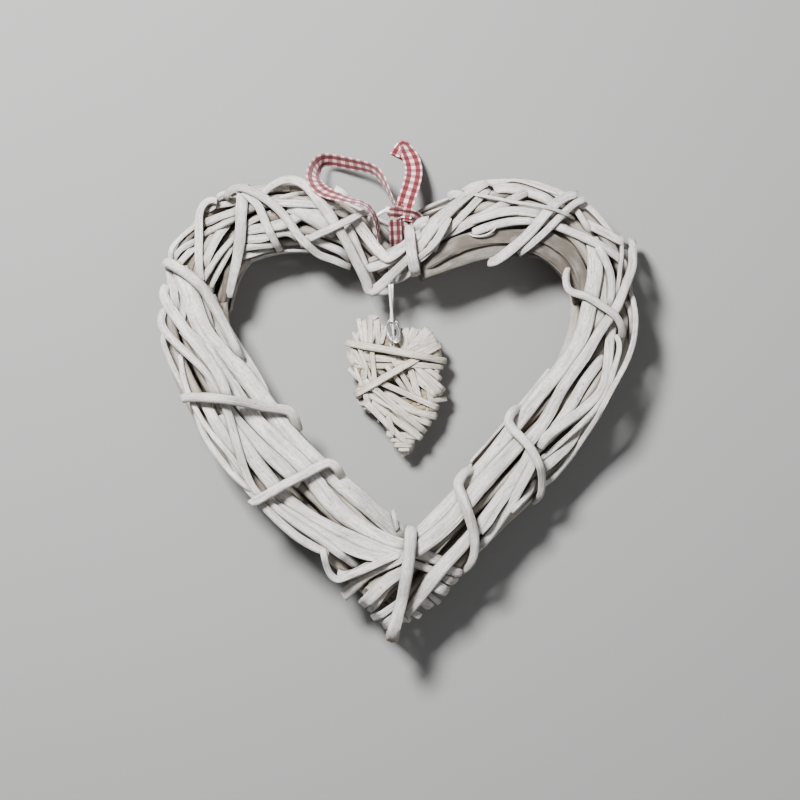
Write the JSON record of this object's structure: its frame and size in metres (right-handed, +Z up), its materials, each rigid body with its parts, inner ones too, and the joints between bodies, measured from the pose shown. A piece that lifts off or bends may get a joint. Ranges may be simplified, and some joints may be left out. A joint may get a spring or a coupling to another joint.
{
  "type": "rattan heart wreath",
  "caption": "Heart-shaped wreath of whitewashed willow rods bound with strips; a small wound heart hangs in its opening on a wire, and a gingham ribbon is tied at the cleft.",
  "frame": {"origin": "middle of the wreath's box in plan, on the surface that it lies on", "axes": "+Z up through the thickness of the lying wreath, +Y from its tip to its cleft, +X to its right lobe as seen from above"},
  "size_m": [0.3008, 0.318, 0.0534],
  "materials": {
    "painted_willow": "chalky white paint over willow bark, thin on edges and in the gaps, matte",
    "small_heart_willow": "thin split willow strips with a worn white wash, tan in the gaps, matte",
    "wire": "dull grey galvanised wire",
    "ribbon": "woven red and white gingham check, matte"
  },
  "bodies": {
    "root": {"cleft_strip_1": "painted_willow", "cleft_strip_2": "painted_willow", "hanging_wire": "wire", "left_arm_rod_01": "painted_willow", "left_arm_rod_02": "painted_willow", "left_arm_rod_03": "painted_willow", "left_arm_rod_04": "painted_willow", "left_arm_rod_05": "painted_willow", "left_arm_rod_06": "painted_willow", "left_arm_rod_07": "painted_willow", "left_arm_rod_08": "painted_willow", "left_arm_rod_09": "painted_willow", "left_arm_rod_10": "painted_willow", "left_arm_rod_11": "painted_willow", "left_arm_rod_12": "painted_willow", "left_binding_1": "painted_willow", "left_binding_2": "painted_willow", "left_binding_3": "painted_willow", "left_lobe_strip_1": "painted_willow", "left_lobe_strip_2": "painted_willow", "left_lobe_strip_3": "painted_willow", "left_lobe_strip_4": "painted_willow", "left_lobe_strip_5": "painted_willow", "left_lobe_strip_6": "painted_willow", "ribbon_knot": "ribbon", "ribbon_left_loop": "ribbon", "ribbon_right_band": "ribbon", "ribbon_tie": "ribbon", "right_arm_rod_01": "painted_willow", "right_arm_rod_02": "painted_willow", "right_arm_rod_03": "painted_willow", "right_arm_rod_04": "painted_willow", "right_arm_rod_05": "painted_willow", "right_arm_rod_06": "painted_willow", "right_arm_rod_07": "painted_willow", "right_arm_rod_08": "painted_willow", "right_arm_rod_09": "painted_willow", "right_arm_rod_10": "painted_willow", "right_arm_rod_11": "painted_willow", "right_arm_rod_12": "painted_willow", "right_arm_strip": "painted_willow", "right_binding_1": "painted_willow", "right_binding_2": "painted_willow", "right_binding_3": "painted_willow", "right_lobe_strip_1": "painted_willow", "right_lobe_strip_2": "painted_willow", "right_lobe_strip_3": "painted_willow", "small_heart_band_1": "small_heart_willow", "small_heart_band_2": "small_heart_willow", "small_heart_band_3": "small_heart_willow", "small_heart_band_4": "small_heart_willow", "small_heart_band_5": "small_heart_willow", "small_heart_band_6": "small_heart_willow", "small_heart_frame_back_left": "small_heart_willow", "small_heart_frame_back_right": "small_heart_willow", "small_heart_frame_front_left": "small_heart_willow", "small_heart_frame_front_right": "small_heart_willow", "tip_bent_strip": "painted_willow", "tip_binding": "painted_willow"}
  },
  "joints": []
}
